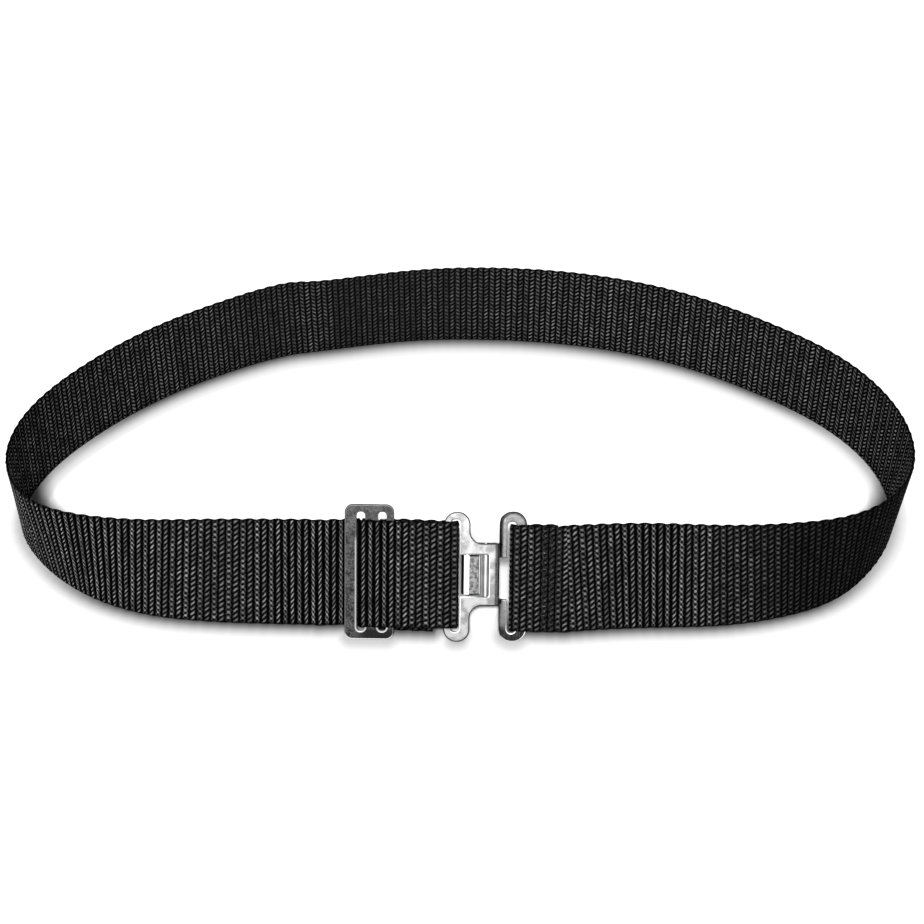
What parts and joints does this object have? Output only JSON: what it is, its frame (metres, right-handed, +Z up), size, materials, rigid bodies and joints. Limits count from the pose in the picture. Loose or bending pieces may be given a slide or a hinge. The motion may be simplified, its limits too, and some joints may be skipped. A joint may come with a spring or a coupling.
{
  "type": "web belt",
  "caption": "Wide ribbed webbing belt fastened into a waist loop by a flat steel hook buckle, with a slide adjuster beside the buckle, standing on its edge.",
  "frame": {"origin": "centre of the bounding box, at floor level", "axes": "+X to the viewer's right along the buckled front, +Y from the front to the back of the loop, +Z up"},
  "size_m": [0.4532, 0.2542, 0.0558],
  "materials": {
    "black_webbing": "ribbed nylon webbing, matt",
    "dark_oxide_steel": "dark oxide, worn bright on its edges",
    "bright_steel": "satin plated",
    "grey_steel": "satin plated, greyer"
  },
  "bodies": {
    "root": {"strap": "black_webbing", "slide_adjuster": "dark_oxide_steel", "buckle_catch": "bright_steel", "buckle_hook": "grey_steel"}
  },
  "joints": []
}
